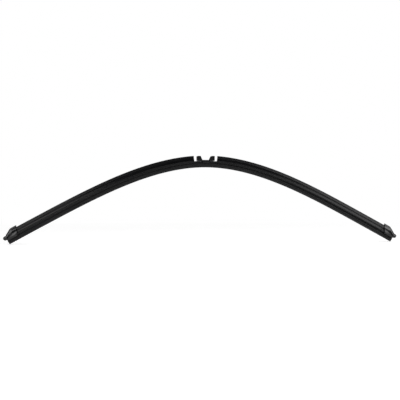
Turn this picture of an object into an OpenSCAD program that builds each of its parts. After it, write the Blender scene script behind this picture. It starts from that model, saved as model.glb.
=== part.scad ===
// Frameless windscreen wiper blade, arched as it lies free of the glass.
// The blade runs along X, its wiping lip points down and the arm sits on it from above.
// The origin is the centre of the arm's seat, on top of the saddle's floor.
// Sections are drawn as [y, w]: y across the blade, w up from the rails' middle plane.

/* [Blade] */
// Length over the end caps, measured along the arch
blade_length = 647; // [450:1:720]
// Slope of the free blade at its ends, in degrees
end_angle = 28.7; // [12:0.1:34]
// Power of the bend: 3 gives an even pressure on flat glass
bend_power = 3; // [2:0.1:4]
// Clearance between pieces that fit together
fit = 0.1; // [0.06:0.01:0.16]

/* [Steel rails] */
// Width of each spring rail
rail_width = 3.6; // [3.2:0.1:4.2]
// Thickness of each spring rail
rail_thickness = 0.9; // [0.7:0.05:1.1]
// Space between the two rails, which holds the rubber's neck
rail_gap = 2.3; // [1.8:0.1:2.8]
// Length of the notch that a cap's tooth drops into
rail_notch_length = 3; // [2:0.1:4]
// Depth of that notch in the rail's outer edge
rail_notch_depth = 0.8; // [0.5:0.05:1.2]

/* [Wiping rubber] */
// Width of the rubber's head and of the flange under the rails
head_width = 5.6; // [5:0.1:6.2]
// Thickness of the head above the rails
head_thickness = 0.8; // [0.5:0.05:1.2]
// Thickness of the flange under the rails
flange_thickness = 0.95; // [0.6:0.05:1.3]
// Thickness of the web on which the lip tilts
web_width = 1; // [0.7:0.05:1.4]
// Height of that web
web_height = 1.6; // [1:0.1:2.2]
// Width of the shoulder that stops the tilt
shoulder_width = 4.8; // [4:0.1:5.4]
// Height of the shoulder
shoulder_height = 1.1; // [0.8:0.1:1.6]
// Height of the hollow taper from the shoulder to the lip
taper_height = 1.8; // [1:0.1:2.6]
// Thickness of the wiping lip
lip_width = 0.85; // [0.6:0.05:1.2]
// Height of the wiping lip
lip_height = 2.4; // [1.5:0.1:3]
// Distance from the tip of a cap to the rubber's square end
rubber_inset = 4.6; // [4:0.1:5.2]

/* [Spoiler] */
// Height of the ridge above the rails' middle plane
ridge_height = 9.55; // [8.4:0.05:10.5]
// Width of the rounded ridge
ridge_width = 1.8; // [1.4:0.1:2.4]
// Width over the flared feet
flare_width = 12.6; // [12:0.1:14]
// Power of the hollow flank, where 1 would be straight
flank_power = 2.2; // [1.6:0.1:2.6]
// Thickness of the blunt edge of the foot
foot_edge = 0.6; // [0.4:0.05:0.9]
// Thickness of the claws under the rails
claw_thickness = 0.85; // [0.6:0.05:1.1]
// Height of the tent-shaped hollow over the rubber's head
hollow_height = 3.8; // [2.5:0.1:4.4]
// Distance from the blade's middle to the inner end of each spoiler
spoiler_start = 17.4; // [16:0.1:24]

/* [Saddle] */
// Length of the folded saddle along the blade
saddle_length = 26.4; // [23:0.1:29]
// Thickness of its steel sheet
sheet = 1.2; // [0.9:0.05:1.4]
// Inner radius of its bends
bend_radius = 0.4; // [0.3:0.05:0.6]
// Height of the four ears above the seat
ear_height = 5.9; // [4.5:0.1:7]
// Length of the notch between the ears, at its floor
notch_length = 11; // [9.5:0.1:12.5]
// How far each ear's inner edge leans away from the notch
ear_lean = 2.65; // [1.5:0.05:3.5]
// Radius of the ears' upper corners
ear_corner = 0.7; // [0.4:0.05:1]
// Length of each claw that grips the rails
claw_length = 9; // [7.5:0.1:9.4]

/* [End caps] */
// Length of each cap along its top, with its nub
cap_length = 26.3; // [24:0.1:30]
// Height of the cap's top above the spoiler's ridge
cap_rise = 2.55; // [1.8:0.05:3.2]
// Thickness of the cap's side wall at the spoiler's foot
cap_wall = 1.3; // [1:0.05:1.8]
// Slope of the cap's top towards its nub, in degrees
cap_slope = 30.5; // [26:0.5:33]
// Distance from the tip to where that slope begins
slope_start = 15.9; // [14.5:0.1:17]
// Radius that rounds the top into the slope
crown_radius = 9; // [6:0.5:12]
// Lean of the cap's mouth, in degrees: its top reaches further inboard
mouth_lean = 19; // [10:0.5:24]
// Width of the cap at its outer end
cap_end_width = 11.6; // [11:0.1:12.6]
// Length of the rounded nub
nub_length = 6; // [5.4:0.1:7]
// Height of the nub
nub_height = 6.4; // [5.8:0.1:6.8]
// Width of the nub
nub_width = 7.8; // [7.2:0.1:8.4]
// Height of the nub's centre above the rails' middle plane
nub_level = 2.3; // [2:0.1:2.6]

/* [Hidden] */

// Steps along each half of the arch, along the curves of the sections and round the nub.
// A fin has the first number of steps round its ridge and the second along its flank.
arch_steps = 20;
spoiler_steps = [4, 7];
cap_steps = [6, 9];
taper_steps = 4;
corner_steps = 6;
cap_rings = 14;
dome_steps = 6;
// Small bevel and moulding draft on the rubber
bevel = 0.25;
draft = 0.1;
// Extra length of a cutter past the face that it opens
past = 5;

half_length = blade_length / 2;
cap_mouth = half_length - cap_length;
rubber_end = half_length - rubber_inset;
spoiler_end = half_length - slope_start + cap_wall;
body_end = half_length - nub_length;
rail_end = body_end - cap_wall / 2;

rail_half = rail_thickness / 2;
rail_out = rail_gap / 2 + rail_width;
channel = rail_half + fit;
head_half = head_width / 2;
head_top = channel + head_thickness;
head_room = head_half + fit;
flange_low = -channel - flange_thickness;
shoulder_top = flange_low - web_height;
shoulder_low = shoulder_top - shoulder_height;
lip_top = shoulder_low - taper_height;
lip_low = lip_top - lip_height;
seat_level = head_top + fit + sheet;

// The foot of the spoiler's flank, and the underside of its claws
foot_level = 0.1;
claw_low = -channel - claw_thickness;

// The blade bends most at its middle and runs straight inside the caps
function slope_at(s) =
    sign(s) * end_angle * (1 - pow(1 - min(abs(s), cap_mouth) / half_length, bend_power));

// Stations get wider apart as the bend fades, so that every chord is as true as the next
spoiler_stations = [for (i = [0:arch_steps])
    spoiler_start + (cap_mouth - spoiler_start) * (1 - sqrt(1 - i / arch_steps))];
half_stations = concat([0, spoiler_start / 2], spoiler_stations);

// Each chord has the mean slope of its ends, so that swept faces stay flat
arch = [for (i = 0, p = [0, -seat_level]; i <= len(half_stations);
             p = i < len(half_stations) ? p + chord(i) : p, i = i + 1) p];
function station(i) = i < len(half_stations) ? half_stations[i] : half_length;
function chord(i) =
    let (a = (slope_at(station(i)) + slope_at(station(i + 1))) / 2)
    (station(i + 1) - station(i)) * [cos(a), -sin(a)];

x_table = [for (i = [0:len(half_stations)]) [station(i), arch[i][0]]];
z_table = [for (i = [0:len(half_stations)]) [station(i), arch[i][1]]];
function x_at(s) = sign(s) * lookup(abs(s), x_table);
function z_at(s) = lookup(abs(s), z_table);
function place(s, p) = [x_at(s) + p[1] * sin(slope_at(s)), p[0], z_at(s) + p[1] * cos(slope_at(s))];

function reversed(list) = [for (i = [len(list) - 1:-1:0]) list[i]];
function mirrored(half) = [for (p = half) [-p[0], p[1]]];

// All stations of a piece that runs from -end to +end, and of one on a single side
function both_sides(end) =
    concat([-end], [for (s = reversed(half_stations)) if (s > 0) -s], half_stations, [end]);
function one_side(end, side) =
    let (out = concat(spoiler_stations, [end]))
    side > 0 ? out : [for (s = reversed(out)) -s];

// A ring is a strip: one edge of the section forward, then its other edge back.
// Its end is closed by triangles whose diagonals mirror each other about the middle.
function ring(edge, other) = concat(edge, reversed(other));
function end_faces(first, m) =
    [for (k = [0:m / 2 - 2])
        let (a = first + k, b = a + 1, d = first + m - 1 - k, c = d - 1)
        each 4 * k < m - 3 ? [[a, b, c], [a, c, d]] : [[a, b, d], [b, c, d]]];
function side_faces(count, m) =
    [for (i = [0:count - 2], j = [0:m - 1])
        let (a = i * m + j, b = i * m + (j + 1) % m)
        each [[a, b, b + m], [a, b + m, a + m]]];

// Closed solid through rings of equal length, each a strip of three-dimensional points
module skin(rings) {
    m = len(rings[0]);
    polyhedron(
        points = [for (r = rings) each r],
        faces = concat(
            [for (f = end_faces(0, m)) reversed(f)],
            side_faces(len(rings), m),
            end_faces((len(rings) - 1) * m, m)
        )
    );
}

// Sweep of one strip section along the arch
module sweep(section, stations) {
    skin([for (s = stations) [for (p = section) place(s, p)]]);
}

// Frame at the mouth of a cap: +X runs outwards along the blade, +Z away from the glass
module at_cap(side) {
    mirror([side < 0 ? 1 : 0, 0, 0])
        translate([x_at(cap_mouth), 0, z_at(cap_mouth)])
            rotate([0, slope_at(cap_mouth), 0])
                children();
}

function unit(v) = v / norm(v);
function turn(from, to) = let (d = to - from) d > 180 ? d - 360 : d < -180 ? d + 360 : d;

// Arc that replaces the corner v between its neighbours p and q
function corner(p, v, q, r) =
    let (a = unit(p - v), b = unit(q - v), half = acos(a * b) / 2,
         centre = v + unit(a + b) * r / sin(half),
         from = v + a * r / tan(half) - centre,
         to = v + b * r / tan(half) - centre,
         start = atan2(from[1], from[0]),
         sweep_angle = turn(start, atan2(to[1], to[0])))
    arc(centre, r, start, start + sweep_angle);
function arc(centre, r, from, to) =
    [for (i = [0:corner_steps])
        let (a = from + (to - from) * i / corner_steps)
        centre + r * [cos(a), sin(a)]];

// Half outline of a fin: rounded ridge, hollow flank, blunt foot and tucked-in underside.
// steps holds the points round the ridge and those along the flank. The strip that crosses
// the ridge's top is one and a half steps wide.
function fin(top, ridge, flare, foot, edge, base, tuck, power, steps) = concat(
    [for (i = [0:steps[0] - 1])
        let (a = 90 * (i + 0.75) / (steps[0] - 0.25))
        [ridge * sin(a), top - ridge + ridge * cos(a)]],
    [for (k = [1:steps[1]])
        let (t = k / steps[1])
        [ridge + (flare - ridge) * pow(t, power), top - ridge + (foot - top + ridge) * t]],
    [[flare, foot - edge], [tuck, base]]
);

// The spoiler's outline, or the pocket around it when grown by a clearance
function spoiler_outline(grow) = fin(
    ridge_height + grow, ridge_width / 2 + grow, flare_width / 2 + grow, foot_level + grow,
    foot_edge + 2 * grow, claw_low - grow, rail_out + claw_thickness + grow, flank_power,
    spoiler_steps);

// Inside of the spoiler: tent-shaped hollow, room for the head, channel round a rail
claw_tip = head_room + 2 * fit;
function spoiler_inside() = concat(
    [for (k = [0:spoiler_steps[1]])
        let (t = k / spoiler_steps[1])
        [draft + (head_room - draft) * t, head_top + fit + hollow_height * (1 - t)]],
    [[head_room, channel], [rail_out + fit, channel], [rail_out + fit, 0],
     [rail_out + fit, -channel], [(rail_out + claw_tip) / 2, -channel], [claw_tip, -channel]]
);

module spoiler(side) {
    outer = concat(spoiler_outline(0), [[claw_tip, claw_low]]);
    inner = spoiler_inside();
    color("#1d1d1f")
        sweep(
            ring(concat(reversed(mirrored(outer)), outer), concat(reversed(mirrored(inner)), inner)),
            one_side(spoiler_end, side)
        );
}

module wiping_rubber() {
    neck = rail_gap / 2 - fit;
    web = web_width / 2;
    shoulder = shoulder_width / 2;
    lip = lip_width / 2;
    half = concat(
        [[head_half - bevel, head_top],
         [head_half, head_top - bevel],
         [head_half, channel + draft],
         [neck, channel],
         [neck, -channel],
         [head_half, -channel - draft],
         [head_half, flange_low + bevel],
         [web, flange_low],
         [web, shoulder_top],
         [shoulder, shoulder_top - bevel]],
        [for (k = [0:taper_steps])
            let (t = k / taper_steps)
            [lip + (shoulder - lip) * (1 - t) * (1 - t), shoulder_low - taper_height * t]],
        [[lip, lip_low]]
    );
    color("#161616")
        sweep(ring(half, mirrored(half)), both_sides(rubber_end));
}

// One spring rail: its side outline extruded across, with a notch near each end
module rail(side) {
    stations = both_sides(rail_end);
    edge = rail_gap / 2 + (side > 0 ? rail_width : 0);
    color("#3a3b3d")
        difference() {
            translate([0, side * edge, 0])
                rotate([90, 0, 0])
                    linear_extrude(height = rail_width)
                        polygon(concat(
                            [for (s = stations) flat(place(s, [0, rail_half]))],
                            [for (s = reversed(stations)) flat(place(s, [0, -rail_half]))]
                        ));
            for (end = [-1, 1])
                at_cap(end)
                    notch(side, rail_notch_length, rail_out - rail_notch_depth, rail_out + past);
        }
}
function flat(p) = [p[0], p[2]];

// Block that cuts a rail's notch, and also makes the cap's tooth in it.
// It lies halfway between the spoiler's end and the rail's end.
notch_at = (spoiler_end + rail_end) / 2 - cap_mouth;
module notch(side, length, from, to) {
    translate([notch_at - length / 2, side > 0 ? from : -to, -channel])
        cube([length, to - from, 2 * channel]);
}

// Folded saddle: a floor, four ears bent up and two claws bent down round the rails
module saddle() {
    relief = bend_radius * (1 - sqrt(1 / 2));
    side_in = rail_out + fit + relief;
    bend_at = side_in - bend_radius;
    claw_level = -seat_level - channel - relief;
    outer_radius = bend_radius + sheet;
    floor_edge = bend_at - sheet;
    half = saddle_length / 2;
    foot = notch_length / 2;
    ear_section = concat(
        [[floor_edge, -sheet], [floor_edge, 0]],
        arc([bend_at, bend_radius], bend_radius, -90, 0),
        [[side_in, ear_height], [side_in + sheet, ear_height]],
        arc([bend_at, bend_radius], outer_radius, 0, -90)
    );
    claw_section = concat(
        [[floor_edge, -sheet], [floor_edge, 0]],
        arc([bend_at, -outer_radius], outer_radius, 90, 0),
        arc([bend_at, claw_level + bend_radius], outer_radius, 0, -90),
        [[claw_tip, claw_level - sheet], [claw_tip, claw_level]],
        arc([bend_at, claw_level + bend_radius], bend_radius, -90, 0),
        arc([bend_at, -outer_radius], bend_radius, 0, 90)
    );
    inner_top = [foot + ear_lean, ear_height];
    outer_top = [half, ear_height];
    ear_face = concat(
        [[half, -sheet], [foot, -sheet], [foot, 0]],
        corner([foot, 0], inner_top, outer_top, ear_corner),
        corner(inner_top, outer_top, [half, 0], ear_corner)
    );
    color("#232325")
        union() {
            translate([-half, -bend_at, -sheet])
                cube([saddle_length, 2 * bend_at, sheet]);
            for (side = [0, 1]) {
                mirror([0, side, 0])
                    along_x(claw_length)
                        polygon(claw_section);
                for (end = [0, 1])
                    mirror([0, side, 0])
                        mirror([end, 0, 0])
                            intersection() {
                                along_x(saddle_length)
                                    polygon(ear_section);
                                rotate([90, 0, 0])
                                    linear_extrude(height = 2 * (side_in + past), center = true)
                                        polygon(ear_face);
                            }
            }
        }
}

// Extrudes a section drawn in y and z along X, centred on the origin
module along_x(length) {
    rotate([90, 0, 90])
        linear_extrude(height = length, center = true)
            children();
}

// Height of the cap's top at a distance t from the blade's tip: flat, rounded, then sloping
cap_top = ridge_height + cap_rise;
crown_start = slope_start + crown_radius * tan(cap_slope / 2);
crown_end = crown_start - crown_radius * sin(cap_slope);
function top_at(t) =
    t >= crown_start ? cap_top
    : t >= crown_end ? cap_top - crown_radius + sqrt(pow(crown_radius, 2) - pow(crown_start - t, 2))
    : cap_top - (slope_start - t) * tan(cap_slope);

// Ring of the cap's body at a distance t from the tip. It is a fin at the mouth, whose
// hollow flanks fade into a full rounded end that carries the nub.
cap_base = claw_low - cap_wall;
cap_foot = foot_level + cap_wall / 3;
mouth_ridge = ridge_width / 2 + cap_wall;
mouth_flare = flare_width / 2 + cap_wall;
end_ridge = nub_width / 2;
plan_power = 2.5;
function cap_ring(t) =
    let (u = (cap_length - t) / (cap_length - nub_length),
         lean = tan(mouth_lean) * max(0, (t - slope_start) / (cap_length - slope_start)),
         half = fin(
             top_at(t),
             mouth_ridge + (end_ridge - mouth_ridge) * u,
             mouth_flare + (cap_end_width / 2 - mouth_flare) * pow(u, plan_power),
             cap_foot,
             foot_edge + 2 * (cap_foot - foot_level),
             cap_base,
             rail_out + cap_wall,
             flank_power + (1 - flank_power) * u,
             cap_steps))
    [for (p = ring(half, mirrored(half)))
        [cap_length - t + (cap_top - p[1]) * lean, p[0], p[1]]];

// Ring of the nub, a rounded box that shrinks over its dome to a small flat
nub_round = nub_height / 2;
nub_box = 2 / 3;
dome_end = 84;
function bulge(v) = sign(v) * pow(abs(v), nub_box);
function nub_ring(x, shrink) =
    let (count = cap_steps[0] + cap_steps[1] + 2,
         half = [for (k = [0:count - 1])
             let (a = 180 * (k + 0.5) / count)
             [nub_width / 2 * bulge(sin(a)), nub_round * bulge(cos(a))] * shrink])
    [for (p = ring(half, mirrored(half))) [x, p[0], nub_level + p[1]]];

module end_cap(side) {
    pocket = spoiler_outline(fit);
    pocket_depth = spoiler_end - cap_mouth + fit;
    color("#202022")
        at_cap(side)
            difference() {
                skin(concat(
                    [for (i = [0:cap_rings])
                        cap_ring(cap_length + (nub_length - cap_length) * i / cap_rings)],
                    [nub_ring(cap_length - nub_length + fit, 1)],
                    [for (k = [0:dome_steps])
                        let (a = dome_end * k / dome_steps)
                        nub_ring(cap_length - nub_round * (1 - sin(a)), cos(a))]
                ));
                translate([pocket_depth / 2 - past / 2, 0, 0])
                    along_x(pocket_depth + past)
                        polygon(concat(pocket, reversed(mirrored(pocket))));
                translate([-past, -head_room, lip_low])
                    cube([rubber_end - cap_mouth + fit + past, 2 * head_room, head_top + fit - lip_low]);
                difference() {
                    translate([-past, -rail_out - fit, -channel])
                        cube([rail_end - cap_mouth + fit + past, 2 * (rail_out + fit), 2 * channel]);
                    for (across = [-1, 1])
                        notch(across, rail_notch_length - 2 * fit,
                              rail_out - rail_notch_depth + fit, rail_out + past);
                }
            }
}

wiping_rubber();
rail(-1);  // rail_front
rail(1);  // rail_rear
spoiler(-1);  // spoiler_left
spoiler(1);  // spoiler_right
saddle();
end_cap(-1);  // end_cap_left
end_cap(1);  // end_cap_right
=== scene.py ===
"""Frameless windscreen wiper blade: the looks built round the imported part.

The blade is drawn straight first, in millimetres: X runs along the blade from its middle, Y across
it and Z up from the rails' middle plane. bend_along_arch() then lays each piece on the free blade's
arch, in metres.
"""

from bisect import bisect
from math import copysign, cos, pi, radians, sin, sqrt, tan

import bmesh
import bpy
from mathutils import Matrix, Vector


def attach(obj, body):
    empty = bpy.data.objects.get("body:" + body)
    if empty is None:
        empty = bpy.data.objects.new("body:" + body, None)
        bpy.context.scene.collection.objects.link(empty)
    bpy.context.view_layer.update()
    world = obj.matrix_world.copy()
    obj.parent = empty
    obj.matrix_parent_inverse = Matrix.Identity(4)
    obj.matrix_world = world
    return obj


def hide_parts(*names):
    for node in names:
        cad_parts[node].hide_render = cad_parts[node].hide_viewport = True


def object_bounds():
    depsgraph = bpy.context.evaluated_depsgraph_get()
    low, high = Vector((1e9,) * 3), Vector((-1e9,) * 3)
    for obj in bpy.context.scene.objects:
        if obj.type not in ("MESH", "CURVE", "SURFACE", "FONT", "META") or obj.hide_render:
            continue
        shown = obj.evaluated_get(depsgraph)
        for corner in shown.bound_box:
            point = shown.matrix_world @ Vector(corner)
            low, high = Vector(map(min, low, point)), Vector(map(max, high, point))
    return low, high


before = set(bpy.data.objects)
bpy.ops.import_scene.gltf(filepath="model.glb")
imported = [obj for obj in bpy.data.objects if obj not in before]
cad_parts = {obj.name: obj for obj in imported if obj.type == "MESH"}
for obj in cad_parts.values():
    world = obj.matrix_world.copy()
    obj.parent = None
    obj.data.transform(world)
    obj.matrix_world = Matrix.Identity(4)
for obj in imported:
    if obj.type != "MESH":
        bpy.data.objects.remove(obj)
cad_low, cad_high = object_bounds()

MM = 0.001
# Points nearer than this are one point: in a section's millimetres, and in a mesh's metres
TOUCH = 1e-4
WELD = 0.002 * MM
# An edge that turns by more than this stays sharp
SHARP_EDGE = radians(32)

# The blade's own sizes in millimetres, as in the part
HALF_BLADE = 323.5
END_SLOPE = radians(28.7)
BEND_POWER = 3
ARCH_STEPS = 20
FIT = 0.1

# Rails and rubber
RAIL_OUT = 4.75
CHANNEL = 0.55
NOTCH_LENGTH = 3
NOTCH_DEPTH = 0.8
HEAD_HALF = 2.8
HEAD_TOP = 1.35
HEAD_ROOM = HEAD_HALF + FIT
LIP_LOW = -8.4
RUBBER_INSET = 4.6
# Height of the arm's seat, the frame's origin, over the rails' middle plane
SEAT = 2.65

# Spoiler fins
RIDGE_HEIGHT = 9.55
RIDGE_HALF = 0.9
FLARE = 6.3
FLANK_POWER = 2.2
FOOT = 0.1
FOOT_EDGE = 0.6
CLAW_LOW = -1.4
CLAW_TIP = 3.1
CLAW_OUT = 5.6
TENT = 3.8
TENT_TOP = 0.1
SPOILER_START = 17.4

# End caps
CAP_LENGTH = 26.3
CAP_RISE = 2.55
CAP_WALL = 1.3
CAP_SLOPE = radians(30.5)
SLOPE_START = 15.9
CROWN_RADIUS = 9
MOUTH_LEAN = tan(radians(19))
CAP_END_HALF = 5.8
NUB_LENGTH = 6
NUB_HEIGHT = 6.4
NUB_WIDTH = 7.8
NUB_LEVEL = 2.3
NUB_BOX = 2 / 3
PLAN_POWER = 2.5

CAP_MOUTH = HALF_BLADE - CAP_LENGTH
CAP_TOP = RIDGE_HEIGHT + CAP_RISE
CAP_FOOT = FOOT + CAP_WALL / 3
CAP_SKIRT = FOOT - FOOT_EDGE - CAP_WALL / 3
CAP_BASE = CLAW_LOW - CAP_WALL
CROWN_START = SLOPE_START + CROWN_RADIUS * tan(CAP_SLOPE / 2)
CROWN_END = CROWN_START - CROWN_RADIUS * sin(CAP_SLOPE)
SPOILER_END = HALF_BLADE - SLOPE_START + CAP_WALL
RUBBER_END = HALF_BLADE - RUBBER_INSET
RAIL_END = HALF_BLADE - NUB_LENGTH - CAP_WALL / 2


# The arch, with the part's stations, which get wider apart as the bend fades
STATIONS = [0, SPOILER_START / 2] + [
    SPOILER_START + (CAP_MOUTH - SPOILER_START) * (1 - sqrt(1 - i / ARCH_STEPS))
    for i in range(ARCH_STEPS + 1)] + [HALF_BLADE]
SLOPES = [END_SLOPE * (1 - (1 - min(s, CAP_MOUTH) / HALF_BLADE) ** BEND_POWER) for s in STATIONS]


def slope_at(s):
    """Downward slope of the free blade. It bends most in the middle and is straight in the caps."""
    here = bisect(STATIONS, min(abs(s), HALF_BLADE - 1e-6))
    near, far = STATIONS[here - 1], STATIONS[here]
    share = (min(abs(s), HALF_BLADE) - near) / (far - near)
    return copysign(SLOPES[here - 1] + (SLOPES[here] - SLOPES[here - 1]) * share, s)


def arch_line():
    """Points of the rails' middle plane, one for each millimetre along the blade's half."""
    x, z = 0.0, -SEAT
    line = [(x, z)]
    for step in range(int(HALF_BLADE) + 1):
        x += cos(slope_at(step + 0.5))
        z -= sin(slope_at(step + 0.5))
        line.append((x, z))
    return line


ARCH = arch_line()


def on_arch(s, y, w):
    """The place, in metres, of a point of the straight blade."""
    low = int(abs(s))
    part = abs(s) - low
    (x0, z0), (x1, z1) = ARCH[low], ARCH[low + 1]
    slope = slope_at(s)
    x = copysign(x0 + (x1 - x0) * part, s) + w * sin(slope)
    z = z0 + (z1 - z0) * part + w * cos(slope)
    return Vector((x, y, z)) * MM


def bend_along_arch(bm):
    """Lays the straight blade on its arch. An attribute keeps each point's straight place for the
    patterns."""
    straight = bm.verts.layers.float_vector.new("straight")
    for vert in bm.verts:
        vert[straight] = vert.co * MM
        vert.co = on_arch(*vert.co)


# Making pieces

def link_object(bm, name, material=None):
    """Turns a bmesh into an object at the origin."""
    mesh = bpy.data.meshes.new(name)
    bm.to_mesh(mesh)
    bm.free()
    if material:
        mesh.materials.append(material)
    obj = bpy.data.objects.new(name, mesh)
    bpy.context.scene.collection.objects.link(obj)
    return obj


def finish_piece(bm, name, material, node):
    """Makes a piece that stands for a node of the part. Its normals keep large faces flat beside
    their soft edges."""
    bmesh.ops.remove_doubles(bm, verts=bm.verts, dist=WELD)
    bmesh.ops.recalc_face_normals(bm, faces=bm.faces)
    for face in bm.faces:
        face.smooth = True
    for edge in bm.edges:
        edge.smooth = edge.calc_face_angle(0) < SHARP_EDGE
    piece = link_object(bm, name, material)
    piece.modifiers.new("flat_faces", "WEIGHTED_NORMAL").keep_sharp = True
    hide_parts(node)
    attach(piece, "root")


def sweep_section(half, start, end, steps):
    """Mirrors, fills and extrudes a section, given by its right half from top to bottom as
    (y, w, corner radius)."""
    bm = bmesh.new()
    chain = [bm.verts.new((start, y, w)) for y, w, _ in half]
    edges = [bm.edges.new(pair) for pair in zip(chain, chain[1:])]
    bmesh.ops.mirror(bm, geom=chain + edges, axis="Y", merge_dist=TOUCH)
    bmesh.ops.edgeloop_fill(bm, edges=bm.edges)
    for radius in sorted({r for _, _, r in half if r}):
        spots = [(y, w) for y, w, r in half if r == radius]
        corners = [v for v in bm.verts if any(
            abs(abs(v.co.y) - y) < TOUCH and abs(v.co.z - w) < TOUCH for y, w in spots)]
        bmesh.ops.bevel(bm, geom=corners, offset=radius, offset_type="OFFSET", segments=4,
                        profile=0.5, affect="VERTICES", clamp_overlap=True, material=-1)
    grown = bmesh.ops.extrude_face_region(bm, geom=bm.faces[:])
    moved = [g for g in grown["geom"] if isinstance(g, bmesh.types.BMVert)]
    bmesh.ops.translate(bm, verts=moved, vec=(end - start, 0, 0))
    along = [e for e in bm.edges if abs(e.verts[0].co.x - e.verts[1].co.x) > TOUCH]
    bmesh.ops.subdivide_edges(bm, edges=along, cuts=steps - 1, use_grid_fill=False)
    return bm


def hollow_curve(y0, w0, y1, w1, steps, power):
    """Points of a hollow curve that leaves (y0, w0) upright and spreads to (y1, w1)."""
    return [(y0 + (y1 - y0) * (k / steps) ** power, w0 + (w1 - w0) * k / steps, 0)
            for k in range(1, steps + 1)]


def quarter_turn(steps):
    """Angles in even steps from none to a quarter turn."""
    return [pi / 2 * k / steps for k in range(steps + 1)]


# Materials

def linear(code):
    """An sRGB hex value as Blender's linear colour."""
    parts = [int(code[i:i + 2], 16) / 255 for i in (1, 3, 5)]
    return [c / 12.92 if c <= 0.04045 else ((c + 0.055) / 1.055) ** 2.4 for c in parts] + [1]


def add_node(tree, kind, settings=None, **links):
    """Adds a node with its settings, then its values and links by each socket's own identifier."""
    node = tree.nodes.new(kind)
    for key, value in (settings or {}).items():
        setattr(node, key, value)
    for key, value in links.items():
        socket = next(s for s in node.inputs if s.identifier.lower().replace(" ", "_") == key)
        if isinstance(value, bpy.types.Node):
            value = next(s for s in value.outputs if s.enabled)
        if isinstance(value, bpy.types.NodeSocket):
            tree.links.new(value, socket)
        else:
            socket.default_value = value
    return node


def new_material(name):
    """An empty material."""
    material = bpy.data.materials.new(name)
    material.use_nodes = True
    material.node_tree.nodes.clear()
    return material


def per_metre(*sizes):
    """A pattern's scale from its cells' sizes in millimetres: along the blade, across it and up."""
    return [1 / (size * MM) for size in sizes]


def graphite_dusted_rubber():
    """Natural rubber, extruded, dusted with graphite and slit along its lip. To the eye it is a
    dull black with a soft highlight. The dust lies in long wipes. The lip's edge, slit after the
    dusting, is darker and shinier."""
    material = new_material("graphite_dusted_rubber")
    tree = material.node_tree
    place = add_node(tree, "ShaderNodeAttribute", {"attribute_name": "straight"}).outputs["Vector"]
    # Wipes about 45 mm long and 2.5 mm high
    wiped = add_node(tree, "ShaderNodeMapping", vector=place, scale=per_metre(45, 2.5, 2.5))
    dust = add_node(tree, "ShaderNodeTexNoise", vector=wiped, scale=1, detail=3, roughness=0.6)
    dusted = add_node(tree, "ShaderNodeMapRange", value=dust, from_min=0.36, from_max=0.66)
    # The last 0.6 mm above the wiping edge shows the rubber's own black
    level = add_node(tree, "ShaderNodeSeparateXYZ", vector=place).outputs["Z"]
    slit = add_node(tree, "ShaderNodeMapRange", value=level, from_min=(LIP_LOW + 0.75) * MM,
                    from_max=(LIP_LOW + 0.6) * MM)
    grey = add_node(tree, "ShaderNodeMix", {"data_type": "RGBA"}, factor_float=dusted,
                    a_color=linear("#0d0d0e"), b_color=linear("#181819"))
    shade = add_node(tree, "ShaderNodeMix", {"data_type": "RGBA"}, factor_float=slit,
                     a_color=grey, b_color=linear("#0d0d0e"))
    gloss = add_node(tree, "ShaderNodeMapRange", value=slit, to_min=0.42, to_max=0.32)
    # Grains of 0.4 mm: real ones are finer than the picture shows
    fine = add_node(tree, "ShaderNodeMapping", vector=place, scale=per_metre(0.4, 0.4, 0.4))
    grains = add_node(tree, "ShaderNodeTexNoise", vector=fine, scale=1, detail=2)
    skin = add_node(tree, "ShaderNodeBump", strength=1, distance=0.012 * MM, height=grains)
    drawn = add_node(tree, "ShaderNodeBump", strength=1, distance=0.03 * MM, height=dust,
                     normal=skin)
    shader = add_node(tree, "ShaderNodeBsdfPrincipled", base_color=shade, roughness=gloss, ior=1.52,
                      specular_ior_level=0.16, normal=drawn)
    add_node(tree, "ShaderNodeOutputMaterial", surface=shader)
    return material


def extruded_elastomer():
    """Thermoplastic elastomer, extruded through a steel die. To the eye it is satin black. Lines
    that the die drew along the blade streak its highlights, and a faint grey bloom lies on it in
    long patches."""
    material = new_material("extruded_elastomer")
    tree = material.node_tree
    place = add_node(tree, "ShaderNodeAttribute", {"attribute_name": "straight"}).outputs["Vector"]
    # Real die lines are 0.2 to 0.4 mm apart. They are drawn 1.3 mm apart, so that they show
    drawn = add_node(tree, "ShaderNodeMapping", vector=place, scale=per_metre(160, 1.3, 1.3))
    lines = add_node(tree, "ShaderNodeTexNoise", vector=drawn, scale=1, detail=3, roughness=0.55)
    gloss = add_node(tree, "ShaderNodeMapRange", value=lines, from_min=0.35, from_max=0.65,
                     to_min=0.22, to_max=0.36)
    # Bloom patches about 40 mm long and 6 mm high
    wide = add_node(tree, "ShaderNodeMapping", vector=place, scale=per_metre(40, 6, 6))
    bloom = add_node(tree, "ShaderNodeTexNoise", vector=wide, scale=1, detail=4, roughness=0.6)
    bloomed = add_node(tree, "ShaderNodeMapRange", value=bloom, from_min=0.4, from_max=0.7)
    shade = add_node(tree, "ShaderNodeMix", {"data_type": "RGBA"}, factor_float=bloomed,
                     a_color=linear("#09090a"), b_color=linear("#121213"))
    # Matt skin of 0.3 mm grains, coarser than the real ones so that they show. The lines lie on it
    fine = add_node(tree, "ShaderNodeMapping", vector=place, scale=per_metre(0.5, 0.3, 0.3))
    grains = add_node(tree, "ShaderNodeTexNoise", vector=fine, scale=1, detail=1)
    skin = add_node(tree, "ShaderNodeBump", strength=1, distance=0.006 * MM, height=grains)
    relief = add_node(tree, "ShaderNodeBump", strength=1, distance=0.12 * MM, height=lines,
                      normal=skin)
    shader = add_node(tree, "ShaderNodeBsdfPrincipled", base_color=shade, roughness=gloss, ior=1.5,
                      specular_ior_level=0.15, normal=relief)
    add_node(tree, "ShaderNodeOutputMaterial", surface=shader)
    return material


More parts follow.
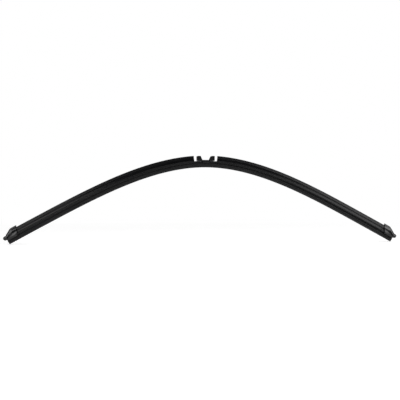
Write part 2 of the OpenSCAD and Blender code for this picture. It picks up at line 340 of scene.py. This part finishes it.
def moulded_nylon():
    """Glass-filled nylon, injection moulded in a spark-eroded tool. To the eye it is black with a
    fine even grain, and shinier than the fin. A hair-thin parting line runs over its top and round
    its nub."""
    material = new_material("moulded_nylon")
    tree = material.node_tree
    place = add_node(tree, "ShaderNodeAttribute", {"attribute_name": "straight"}).outputs["Vector"]
    # Spark-eroded pits of 0.4 mm, about twice the real size
    pits = add_node(tree, "ShaderNodeTexVoronoi", {"feature": "SMOOTH_F1"}, vector=place,
                    scale=1 / (0.4 * MM), smoothness=0.6)
    # Slow waves of 7 mm where the melt flowed
    flow = add_node(tree, "ShaderNodeTexNoise", vector=place, scale=1 / (7 * MM), detail=3)
    gloss = add_node(tree, "ShaderNodeMapRange", value=flow, from_min=0.35, from_max=0.65,
                     to_min=0.15, to_max=0.21)
    shade = add_node(tree, "ShaderNodeMix", {"data_type": "RGBA"}, factor_float=flow,
                     a_color=linear("#0b0b0c"), b_color=linear("#131314"))
    # The parting line is 0.25 mm wide, on the blade's middle plane
    across = add_node(tree, "ShaderNodeSeparateXYZ", vector=place).outputs["Y"]
    aside = add_node(tree, "ShaderNodeMath", {"operation": "ABSOLUTE"}, value=across)
    flash = add_node(tree, "ShaderNodeMapRange", value=aside, from_min=0.12 * MM,
                     from_max=0.05 * MM)
    grain = add_node(tree, "ShaderNodeBump", strength=1, distance=0.02 * MM, height=pits)
    seam = add_node(tree, "ShaderNodeBump", strength=1, distance=0.05 * MM, height=flash,
                    normal=grain)
    shader = add_node(tree, "ShaderNodeBsdfPrincipled", base_color=shade, roughness=gloss, ior=1.53,
                      specular_ior_level=0.31, normal=seam)
    add_node(tree, "ShaderNodeOutputMaterial", surface=shader)
    return material


def stoved_enamel():
    """Black enamel, stoved on pressed steel. To the eye it is an even satin black with a slight
    orange peel, and a little grey along the edges, where the enamel drew thin before it set."""
    material = new_material("stoved_enamel")
    tree = material.node_tree
    place = add_node(tree, "ShaderNodeTexCoord").outputs["Object"]
    # Orange peel in waves of 1.2 mm
    peel = add_node(tree, "ShaderNodeTexNoise", vector=place, scale=1 / (1.2 * MM), detail=1)
    # Thin stretches of about 2.5 mm along the edges
    worn = add_node(tree, "ShaderNodeAttribute", {"attribute_name": "edge"}).outputs["Fac"]
    chance = add_node(tree, "ShaderNodeTexNoise", vector=place, scale=1 / (2.5 * MM), detail=3)
    thin = add_node(tree, "ShaderNodeMapRange", value=chance, from_min=0.35, from_max=0.65)
    share = add_node(tree, "ShaderNodeMath", {"operation": "MULTIPLY"}, value=worn, value_001=thin)
    shade = add_node(tree, "ShaderNodeMix", {"data_type": "RGBA"}, factor_float=share,
                     a_color=linear("#09090a"), b_color=linear("#242526"))
    gloss = add_node(tree, "ShaderNodeMapRange", value=peel, from_min=0.3, from_max=0.7,
                     to_min=0.3, to_max=0.42)
    relief = add_node(tree, "ShaderNodeBump", strength=1, distance=0.02 * MM, height=peel)
    shader = add_node(tree, "ShaderNodeBsdfPrincipled", base_color=shade, roughness=gloss, ior=1.5,
                      specular_ior_level=0.17, normal=relief)
    add_node(tree, "ShaderNodeOutputMaterial", surface=shader)
    return material


def lacquered_spring_steel():
    """Hardened spring steel strip, cold rolled and dipped in thin black lacquer. To the eye it is a
    dark grey with a cool shine, and the rolling lines show along the rail."""
    material = new_material("lacquered_spring_steel")
    tree = material.node_tree
    place = add_node(tree, "ShaderNodeTexCoord").outputs["Object"]
    # Rolling lines 0.25 mm apart, coarser than the real ones so that they show. They change across
    # the rail only, so they follow its bend
    rolled = add_node(tree, "ShaderNodeMapping", vector=place, scale=(0, 1 / (0.25 * MM), 0))
    lines = add_node(tree, "ShaderNodeTexNoise", vector=rolled, scale=1, detail=2)
    shade = add_node(tree, "ShaderNodeMix", {"data_type": "RGBA"}, factor_float=lines,
                     a_color=linear("#0d0e10"), b_color=linear("#1c1e20"))
    gloss = add_node(tree, "ShaderNodeMapRange", value=lines, to_min=0.26, to_max=0.4)
    relief = add_node(tree, "ShaderNodeBump", strength=1, distance=0.005 * MM, height=lines)
    shader = add_node(tree, "ShaderNodeBsdfPrincipled", base_color=shade, roughness=gloss, ior=1.5,
                      specular_ior_level=0.3, normal=relief)
    add_node(tree, "ShaderNodeOutputMaterial", surface=shader)
    return material


# The blade's pieces

def wiping_rubber():
    """One extrusion: head, neck between the rails, flange, web, shoulder, hollow taper and lip."""
    lip, neck, web, shoulder = 0.425, 1.05, 0.5, 2.4
    flange_low, shoulder_top, shoulder_low, lip_top = -1.5, -3.1, -4.2, -6.0
    # The channels round the rails open a little towards the outside
    opening = 0.1
    taper = hollow_curve(lip, lip_top, shoulder, shoulder_low, steps=10, power=2)
    half = [
        (0, HEAD_TOP, 0), (HEAD_HALF, HEAD_TOP, 0.25), (HEAD_HALF, CHANNEL + opening, 0.1),
        (neck, CHANNEL, 0.1), (neck, -CHANNEL, 0.1), (HEAD_HALF, -CHANNEL - opening, 0.1),
        (HEAD_HALF, flange_low, 0.25), (web, flange_low, 0.2), (web, shoulder_top, 0.2),
        (shoulder, shoulder_top, 0.25), *reversed(taper), (lip, lip_top, 0), (lip, LIP_LOW, 0),
        (0, LIP_LOW, 0)]
    bm = sweep_section(half, -RUBBER_END, RUBBER_END, steps=128)
    bend_along_arch(bm)
    finish_piece(bm, "wiping_rubber_blade", graphite_dusted_rubber(), "wiping_rubber")


def fin_half():
    """Outer outline of the fin: rounded ridge, hollow flank and blunt flared foot."""
    centre = RIDGE_HEIGHT - RIDGE_HALF
    arc = [(RIDGE_HALF * sin(turn), centre + RIDGE_HALF * cos(turn), 0) for turn in quarter_turn(6)]
    return arc + hollow_curve(RIDGE_HALF, centre, FLARE, FOOT, 16, FLANK_POWER)


def spoiler(side, end, material):
    """Fin with hollow flanks, a tent-shaped hollow over the rubber's head, and claws under the
    rails."""
    tent_foot, steps = HEAD_TOP + FIT, 8
    tent = [(HEAD_ROOM - (HEAD_ROOM - TENT_TOP) * k / steps, tent_foot + TENT * k / steps, 0)
            for k in range(1, steps + 1)]
    half = fin_half()[:-1] + [
        (FLARE, FOOT, 0.3), (FLARE, FOOT - FOOT_EDGE, 0.25), (CLAW_OUT, CLAW_LOW, 0.25),
        (CLAW_TIP, CLAW_LOW, 0.2), (CLAW_TIP, -CHANNEL, 0.1), (RAIL_OUT + FIT, -CHANNEL, 0.1),
        (RAIL_OUT + FIT, CHANNEL, 0.1), (HEAD_ROOM, CHANNEL, 0.1), (HEAD_ROOM, tent_foot, 0),
        *tent, (0, tent_foot + TENT, 0)]
    bm = sweep_section(half, side * SPOILER_START, side * SPOILER_END, steps=60)
    bend_along_arch(bm)
    finish_piece(bm, "spoiler_fin_" + end, material, "spoiler_" + end)


# The end caps. A distance t is measured from the cap's tip, and u runs from 0 at the cap's mouth to
# 1 where the nub begins. All rings have the same number of points, so that they can be bridged

MOUTH_RIDGE = RIDGE_HALF + CAP_WALL
MOUTH_FLARE = FLARE + CAP_WALL
RIDGE_POINTS, FLANK_POINTS = 10, 18
# The foot's blunt edge is thin, so it draws in by this share of an inset
EDGE_SHARE = 0.4
# Half width of the flat under the cap
BASE_HALF = 2.0


def cap_top(t):
    """Height of the cap's top: flat, rounded, then sloping."""
    if t >= CROWN_START:
        return CAP_TOP
    if t >= CROWN_END:
        return CAP_TOP - CROWN_RADIUS + sqrt(CROWN_RADIUS ** 2 - (CROWN_START - t) ** 2)
    return CAP_TOP - (SLOPE_START - t) * tan(CAP_SLOPE)


def cap_half(t, inset):
    """Right half of the cap's outline: a fin at the mouth, whose flanks fade into a full end."""
    u = (CAP_LENGTH - t) / (CAP_LENGTH - NUB_LENGTH)
    ridge = MOUTH_RIDGE + (NUB_WIDTH / 2 - MOUTH_RIDGE) * u - inset
    flare = MOUTH_FLARE + (CAP_END_HALF - MOUTH_FLARE) * u ** PLAN_POWER - inset
    power = FLANK_POWER + (1 - FLANK_POWER) * u
    centre = cap_top(t) - inset - ridge
    foot = CAP_FOOT - inset * EDGE_SHARE
    skirt = CAP_SKIRT + inset * EDGE_SHARE
    base = CAP_BASE + inset
    turns = [pi / 2 * (k + 0.5) / RIDGE_POINTS for k in range(RIDGE_POINTS)]
    arc = [(ridge * sin(turn), centre + ridge * cos(turn)) for turn in turns]
    shares = [k / FLANK_POINTS for k in range(FLANK_POINTS + 1)]
    flank = [(ridge + (flare - ridge) * share ** power, centre + (foot - centre) * share)
             for share in shares]
    return arc + flank + [(flare, skirt), (RAIL_OUT + CAP_WALL - inset, base), (BASE_HALF, base)]


def whole_ring(half, place):
    """A ring of points from its right half."""
    return [place(y, w) for y, w in half + [(-y, w) for y, w in reversed(half)]]


def cap_ring(t, inset=0.0):
    """The cap's outline, drawn in by an inset. The mouth leans: its top reaches further inboard."""
    lean = MOUTH_LEAN * max(0.0, (t - SLOPE_START) / (CAP_LENGTH - SLOPE_START))
    return whole_ring(cap_half(t, inset),
                      lambda y, w: Vector((HALF_BLADE - t + (CAP_TOP - w) * lean, y, w)))


def nub_ring(t, shrink):
    """A rounded box round the nub's axis, with as many points as a ring of the cap."""
    count = RIDGE_POINTS + FLANK_POINTS + 4
    half = []
    for k in range(count):
        turn = pi * (k + 0.5) / count
        across = sin(turn) ** NUB_BOX * NUB_WIDTH / 2
        rise = copysign(abs(cos(turn)) ** NUB_BOX, cos(turn)) * NUB_HEIGHT / 2
        half.append((across * shrink, NUB_LEVEL + rise * shrink))
    return whole_ring(half, lambda y, w: Vector((HALF_BLADE - t, y, w)))


def loft(rings):
    """A closed skin: each ring is a circle shaped to its points, and neighbours are bridged."""
    bm = bmesh.new()
    loops = []
    for ring in rings:
        verts = bmesh.ops.create_circle(bm, segments=len(ring), radius=1)["verts"]
        for vert, place in zip(verts, ring):
            vert.co = place
        loops.append([bm.edges.get((a, b)) for a, b in zip(verts, verts[1:] + verts[:1])])
    for near, far in zip(loops, loops[1:]):
        bmesh.ops.bridge_loops(bm, edges=near + far)
    for end in (loops[0], loops[-1]):
        bmesh.ops.edgeloop_fill(bm, edges=end)
    bmesh.ops.recalc_face_normals(bm, faces=bm.faces)
    return bm


def block(x0, x1, half_width, z0, z1):
    """A box on the blade's middle plane, for cutting."""
    bm = bmesh.new()
    bmesh.ops.create_cube(bm, size=1)
    bmesh.ops.scale(bm, verts=bm.verts, vec=(x1 - x0, 2 * half_width, z1 - z0))
    bmesh.ops.translate(bm, verts=bm.verts, vec=((x0 + x1) / 2, 0, (z0 + z1) / 2))
    return bm


def cut_away(bm, tools):
    """Cuts closed shapes out of a closed shape."""
    body = link_object(bm, "uncut")
    cutters = [link_object(tool, "cutter") for tool in tools]
    for cutter in cutters:
        cut = body.modifiers.new("cut", "BOOLEAN")
        cut.operation = "DIFFERENCE"
        cut.solver = "EXACT"
        cut.object = cutter
    result = bmesh.new()
    result.from_object(body, bpy.context.evaluated_depsgraph_get())
    for obj in [body, *cutters]:
        bpy.data.objects.remove(obj)
    return result


def fin_room(clearance, start, end):
    """The fin's outer form, wider by a clearance, for cutting. Known fault: its faces point inwards,
    so the cut takes nothing away, and the cap stays solid round the fin's end."""
    flank = [(y + clearance, w, 0) for y, w, _ in fin_half()]
    section = [(0, RIDGE_HEIGHT + clearance, 0)] + flank[1:] + [
        (FLARE + clearance, FOOT - FOOT_EDGE - clearance, 0),
        (CLAW_OUT + clearance, CLAW_LOW - clearance, 0), (0, CLAW_LOW - clearance, 0)]
    return sweep_section(section, start, end, steps=1)


def mouth_gap():
    """Room round the fin just inside the leaning mouth, meant to leave a dark line. It comes from
    fin_room(), so by the same fault it isn't cut."""
    width, depth, outside = 0.6, 1.4, 8
    gap = fin_room(width, CAP_MOUTH - outside, CAP_MOUTH + depth)
    lean = Matrix(((1, 0, -MOUTH_LEAN, CAP_TOP * MOUTH_LEAN), (0, 1, 0, 0), (0, 0, 1, 0),
                   (0, 0, 0, 1)))
    bmesh.ops.transform(gap, matrix=lean, verts=gap.verts)
    return gap


def end_cap(side, end, material):
    """Moulded cap with soft edges, slots for rubber and rails, teeth in the rails' notches and a
    rounded nub. By fin_room()'s fault it has no pocket for the fin and no gap at the mouth."""
    edge, shoulder, body_steps = 0.3, 0.6, 30
    body = CAP_LENGTH - NUB_LENGTH - edge - shoulder
    rings = [cap_ring(CAP_LENGTH - edge * (1 - cos(a)), edge * (1 - sin(a)))
             for a in quarter_turn(3)[:-1]]
    rings += [cap_ring(CAP_LENGTH - edge - body * k / body_steps) for k in range(body_steps + 1)]
    rings += [cap_ring(NUB_LENGTH + shoulder * (1 - sin(a)), shoulder * (1 - cos(a)))
              for a in quarter_turn(4)[1:-1]]
    rings += [nub_ring(NUB_LENGTH - FIT, 1)]
    rings += [nub_ring(NUB_HEIGHT / 2 * (1 - sin(a)), cos(a)) for a in quarter_turn(13)[:-1]]
    inboard, below_lip = CAP_MOUTH - 5, -9
    tooth = (SPOILER_END + RAIL_END) / 2
    tooth_start, tooth_end = tooth - NOTCH_LENGTH / 2 + FIT, tooth + NOTCH_LENGTH / 2 - FIT
    bm = cut_away(loft(rings), [
        fin_room(FIT, inboard, SPOILER_END + FIT),
        mouth_gap(),
        block(inboard, RUBBER_END + FIT, HEAD_ROOM, below_lip, HEAD_TOP + FIT),
        block(inboard, tooth_start, RAIL_OUT + FIT, -CHANNEL, CHANNEL),
        block(inboard, tooth_end, RAIL_OUT - NOTCH_DEPTH + FIT, -CHANNEL, CHANNEL),
        block(tooth_end, RAIL_END + FIT, RAIL_OUT + FIT, -CHANNEL, CHANNEL),
    ])
    if side < 0:
        bmesh.ops.scale(bm, verts=bm.verts, vec=(-1, 1, 1))
        bmesh.ops.reverse_faces(bm, faces=bm.faces)
    bend_along_arch(bm)
    finish_piece(bm, "moulded_cap_" + end, material, "end_cap_" + end)


def saddle():
    """The part's folded saddle with its edges rounded. An attribute marks the rounded edges, where
    the enamel is thin."""
    coplanar, hard_edge, edge_radius = radians(1), radians(40), 0.16 * MM
    bm = bmesh.new()
    bm.from_mesh(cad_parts["saddle"].data)
    bmesh.ops.remove_doubles(bm, verts=bm.verts, dist=WELD)
    bmesh.ops.dissolve_limit(bm, angle_limit=coplanar, verts=bm.verts, edges=bm.edges)
    hard = [e for e in bm.edges if e.calc_face_angle(0) > hard_edge]
    rounded = bmesh.ops.bevel(bm, geom=hard, offset=edge_radius, offset_type="OFFSET", segments=3,
                              profile=0.5, affect="EDGES", clamp_overlap=True, material=-1)
    edge = bm.verts.layers.float.new("edge")
    round_faces = set(rounded["faces"])
    for vert in bm.verts:
        vert[edge] = float(all(face in round_faces for face in vert.link_faces))
    finish_piece(bm, "folded_saddle", stoved_enamel(), "saddle")


def rails():
    """The part's own rails, in their real finish."""
    steel = lacquered_spring_steel()
    for name in ("rail_front", "rail_rear"):
        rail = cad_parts[name]
        rail.data.materials.clear()
        rail.data.materials.append(steel)


# The camera: the photograph's scale at the blade in pixels for each millimetre, its width in
# pixels, and a place in millimetres and degrees that was fitted to the photographed outline

PIXELS_PER_MM = 0.6619
PHOTO_WIDTH = 400
CAMERA_DISTANCE = 1200
CAMERA_AIM = (-8.51, 0, -57.76 - SEAT)
CAMERA_TURN = radians(-7.1)
CAMERA_ROLL = radians(-0.04)


def camera():
    """Level camera a little left of the blade's middle, as the two ends' outlines and tips
    require."""
    data = bpy.data.cameras.new("camera")
    data.lens = PIXELS_PER_MM * CAMERA_DISTANCE * data.sensor_width / PHOTO_WIDTH
    data.clip_start, data.clip_end = 0.05, 50
    obj = bpy.data.objects.new("camera", data)
    bpy.context.scene.collection.objects.link(obj)
    back = Vector((sin(CAMERA_TURN), -cos(CAMERA_TURN), 0))
    roll = Matrix.Rotation(CAMERA_ROLL, 3, "Z").to_quaternion()
    obj.location = (Vector(CAMERA_AIM) + back * CAMERA_DISTANCE) * MM
    obj.rotation_mode = "QUATERNION"
    obj.rotation_quaternion = (-back).to_track_quat("-Z", "Y") @ roll
    bpy.context.scene.camera = obj


# The studio, in metres. The two strengths are shares of plain white

ROOM_LIGHT = 0.7
FLOOR_GLOW = 0.45
# The paper turns from lit to plain white between these distances from the blade's middle
FADE_START, FADE_END = 0.45, 1.3
FLOOR_HALF = 6
BLADE_MIDDLE = Vector((0, 0, -0.06))
LAMP_DISTANCE = 1.5


def softbox(name, turn, rise, size, power):
    """A soft lamp that faces the blade from a direction: degrees to the right of the front, and
    up. Its power is in watts."""
    data = bpy.data.lights.new(name, "AREA")
    data.shape = "RECTANGLE"
    data.size, data.size_y = size
    data.energy = power
    obj = bpy.data.objects.new(name, data)
    bpy.context.scene.collection.objects.link(obj)
    turn, rise = radians(turn), radians(rise)
    back = Vector((sin(turn) * cos(rise), -cos(turn) * cos(rise), sin(rise)))
    obj.location = BLADE_MIDDLE + back * LAMP_DISTANCE
    obj.rotation_mode = "QUATERNION"
    obj.rotation_quaternion = back.to_track_quat("Z", "Y")


def looked_at(tree):
    """1 where the camera, a reflection or a see-through ray looks, 0 for plain light."""
    path = add_node(tree, "ShaderNodeLightPath").outputs
    glossy = add_node(tree, "ShaderNodeMath", {"operation": "MAXIMUM"},
                      value=path["Is Camera Ray"], value_001=path["Is Glossy Ray"])
    return add_node(tree, "ShaderNodeMath", {"operation": "MAXIMUM"},
                    value=glossy, value_001=path["Is Transmission Ray"])


def white_room():
    """White all round where the camera or a reflection looks, and a plain pale light otherwise."""
    world = bpy.data.worlds.new("room")
    bpy.context.scene.world = world
    world.use_nodes = True
    tree = world.node_tree
    tree.nodes.clear()
    light = add_node(tree, "ShaderNodeBackground", color=linear("#ffffff"), strength=ROOM_LIGHT)
    shown = add_node(tree, "ShaderNodeBackground", color=linear("#ffffff"), strength=1.0)
    both = add_node(tree, "ShaderNodeMixShader", fac=looked_at(tree), shader=light,
                    shader_001=shown)
    add_node(tree, "ShaderNodeOutputWorld", surface=both)


def paper_floor():
    """White paper. Away from the blade it is as white as the room, and near it the shadow shows."""
    material = new_material("floor_paper")
    tree = material.node_tree
    paper = add_node(tree, "ShaderNodeBsdfDiffuse", color=linear("#f0f0f0"))
    place = add_node(tree, "ShaderNodeTexCoord").outputs["Object"]
    reach = add_node(tree, "ShaderNodeVectorMath", {"operation": "LENGTH"},
                     vector=place).outputs["Value"]
    fade = add_node(tree, "ShaderNodeMapRange", {"interpolation_type": "SMOOTHSTEP"},
                    value=reach, from_min=FADE_START, from_max=FADE_END)
    white = add_node(tree, "ShaderNodeEmission", color=linear("#ffffff"), strength=1.0)
    glow = add_node(tree, "ShaderNodeEmission", color=linear("#ffffff"), strength=FLOOR_GLOW)
    near = add_node(tree, "ShaderNodeAddShader", shader=glow, shader_001=paper)
    shown = add_node(tree, "ShaderNodeMixShader", fac=fade, shader=near, shader_001=white)
    both = add_node(tree, "ShaderNodeMixShader", fac=looked_at(tree), shader=paper,
                    shader_001=shown)
    add_node(tree, "ShaderNodeOutputMaterial", surface=both)
    return material


def floor():
    """The sheet of paper just under the blade's lowest points."""
    bm = bmesh.new()
    bmesh.ops.create_grid(bm, x_segments=1, y_segments=1, size=FLOOR_HALF)
    bmesh.ops.translate(bm, verts=bm.verts, vec=(0, 0, cad_low.z))
    link_object(bm, "floor", paper_floor())


def black_cloth():
    """Woven black cloth. It gives the eye nothing: it only keeps light off."""
    material = new_material("black_cloth")
    tree = material.node_tree
    shader = add_node(tree, "ShaderNodeBsdfDiffuse", color=linear("#0c0c0c"))
    add_node(tree, "ShaderNodeOutputMaterial", surface=shader)
    return material


def dark_curtain():
    """Black cloth half round behind the camera and over the blade, as in a studio for black things.
    Its profile, as distance and height, is spun about the blade and reaches past both sides."""
    profile = ((2.6, cad_low.z), (1.6, 2.2), (0.05, 2.4))
    sweep, past_side, set_back = radians(-200), radians(10), 0.4
    bm = bmesh.new()
    chain = [bm.verts.new((reach, 0, height)) for reach, height in profile]
    edges = [bm.edges.new(pair) for pair in zip(chain, chain[1:])]
    bmesh.ops.spin(bm, geom=chain + edges, cent=(0, 0, 0), axis=(0, 0, 1), angle=sweep, steps=40,
                   use_merge=False)
    bmesh.ops.rotate(bm, verts=bm.verts, cent=(0, 0, 0), matrix=Matrix.Rotation(past_side, 3, "Z"))
    bmesh.ops.translate(bm, verts=bm.verts, vec=(0, set_back, 0))
    curtain = link_object(bm, "curtain", black_cloth())
    curtain.visible_camera = False


wiping_rubber()
elastomer, nylon = extruded_elastomer(), moulded_nylon()
for side, end in ((-1, "left"), (1, "right")):
    spoiler(side, end, elastomer)
    end_cap(side, end, nylon)
saddle()
rails()

camera()
white_room()
floor()
dark_curtain()
# Two lamps in front, with a dark gap between them, draw the sheen on the flanks
softbox("right_front", 41, 15, size=(0.86, 1.0), power=16)
softbox("left_front", -35, 12, size=(0.86, 0.9), power=11)
# Two smaller ones, higher and at the sides, draw the bright bands on the caps
softbox("right_high", 94, 38, size=(0.7, 0.55), power=3)
softbox("left_high", -76, 46, size=(0.55, 0.6), power=3.8)
bpy.context.scene.view_settings.view_transform = "Standard"
